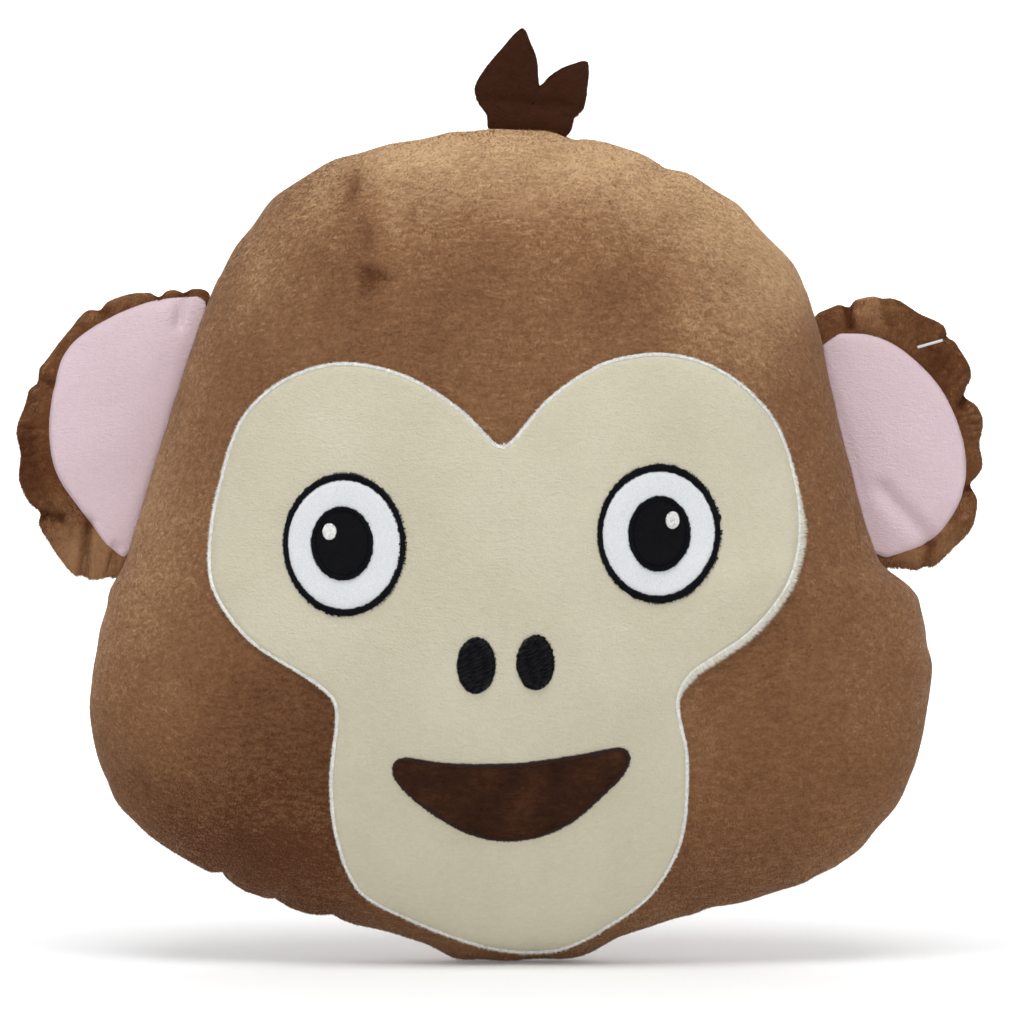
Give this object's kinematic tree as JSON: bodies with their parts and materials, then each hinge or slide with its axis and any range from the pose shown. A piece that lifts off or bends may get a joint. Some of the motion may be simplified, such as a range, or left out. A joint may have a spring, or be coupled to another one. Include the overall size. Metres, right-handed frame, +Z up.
{
  "type": "plush monkey face cushion",
  "caption": "Round stuffed plush cushion with an appliqué monkey face, floppy sewn-on ears and a two-lobed hair tuft; stands on its flattened chin.",
  "frame": {"origin": "on the surface it stands on, under the middle of the box around the whole cushion", "axes": "the face looks along -Y, +Z is up through the hair tuft, +X runs from the ear on the viewer's left to the ear on the viewer's right"},
  "size_m": [0.35, 0.107, 0.338],
  "materials": {
    "brown_plush": "short brushed pile",
    "ear_brown_plush": "short brushed pile, crushed into ribs",
    "dark_brown_plush": "short pile",
    "beige_plush": "very short smooth pile",
    "pink_plush": "very short smooth pile",
    "white_felt": "smooth felt",
    "black_felt": "smooth felt",
    "white_stitch": "satin stitch, soft gloss",
    "black_stitch": "satin stitch, soft gloss",
    "dark_brown_stitch": "satin stitch, soft gloss",
    "seam_thread": "sewing thread",
    "fibre_filling": "loose polyester fibre",
    "white_plastic": "translucent moulded"
  },
  "bodies": {
    "head": {"head_front_panel": "brown_plush", "head_back_panel": "brown_plush", "head_filling": "fibre_filling", "head_seam_thread": "seam_thread", "closing_ladder_thread": "seam_thread", "face_panel": "beige_plush", "face_border_stitch": "white_stitch", "left_eye_white": "white_felt", "left_eye_outline": "black_stitch", "left_pupil": "black_felt", "left_pupil_stitch": "black_stitch", "left_eye_highlight": "white_stitch", "right_eye_white": "white_felt", "right_eye_outline": "black_stitch", "right_pupil": "black_felt", "right_pupil_stitch": "black_stitch", "right_eye_highlight": "white_stitch", "left_nostril": "black_stitch", "right_nostril": "black_stitch", "mouth_panel": "dark_brown_plush", "mouth_border_stitch": "dark_brown_stitch"},
    "left_ear": {"left_ear_front_rim": "ear_brown_plush", "left_ear_inner": "pink_plush", "left_ear_back": "ear_brown_plush", "left_ear_filling": "fibre_filling"},
    "right_ear": {"right_ear_front_rim": "ear_brown_plush", "right_ear_inner": "pink_plush", "right_ear_back": "ear_brown_plush", "right_ear_filling": "fibre_filling", "tag_fastener": "white_plastic"},
    "tuft": {"tuft_front": "dark_brown_plush", "tuft_back": "dark_brown_plush"}
  },
  "joints": [
    {"name": "left_ear_flop", "type": "hinge", "parent": "head", "child": "left_ear", "pos_m": [-0.10802, 0.0015, 0.24049], "axis": [0.3032, 0, 0.9529], "range_deg": [-45, 45], "stiffness_Nm_per_rad": 0.05},
    {"name": "right_ear_flop", "type": "hinge", "parent": "head", "child": "right_ear", "pos_m": [0.11274, 0.0015, 0.24514], "axis": [0.2729, 0, -0.962], "range_deg": [-45, 45], "stiffness_Nm_per_rad": 0.05},
    {"name": "tuft_flop", "type": "hinge", "parent": "head", "child": "tuft", "pos_m": [-0.003, 0.0015, 0.3045], "axis": [0.9973, 0, -0.0739], "range_deg": [-60, 60], "stiffness_Nm_per_rad": 0.01}
  ]
}
